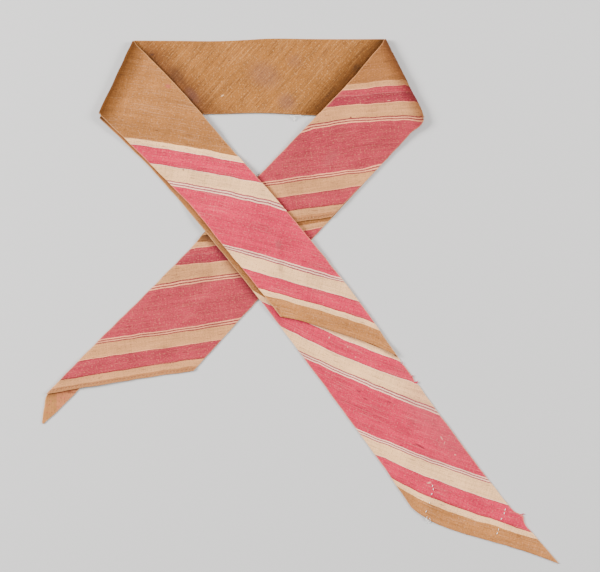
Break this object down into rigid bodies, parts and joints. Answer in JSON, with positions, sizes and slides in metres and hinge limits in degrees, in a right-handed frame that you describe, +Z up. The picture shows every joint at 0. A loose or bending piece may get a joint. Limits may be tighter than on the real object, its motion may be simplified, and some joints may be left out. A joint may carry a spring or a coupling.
{
  "type": "cravat",
  "caption": "Striped cotton cravat folded on the bias into a band and laid flat, its neck loop on top and its two pointed ends crossed below.",
  "frame": {"origin": "middle of the laid-out cravat's footprint, on the surface that it lies on", "axes": "+Z up out of the surface, +Y towards the neck stretch, +X to the right seen from above, towards the tip of the left front, which crosses over the right front"},
  "size_m": [0.5178, 0.525, 0.006],
  "materials": {
    "tan_cotton": "matte hand-woven cotton",
    "striped_cotton_right_side": "matte hand-woven cotton, bright face with rose and cream stripes",
    "striped_cotton_wrong_side": "matte hand-woven cotton, duller back of the rose and cream stripes"
  },
  "bodies": {
    "root": {"neck_band": "tan_cotton", "right_turned_corner": "striped_cotton_wrong_side", "right_front_lower": "striped_cotton_wrong_side", "right_front_upper": "striped_cotton_wrong_side", "left_front_lower": "striped_cotton_right_side", "left_front_upper": "striped_cotton_right_side"}
  },
  "joints": []
}
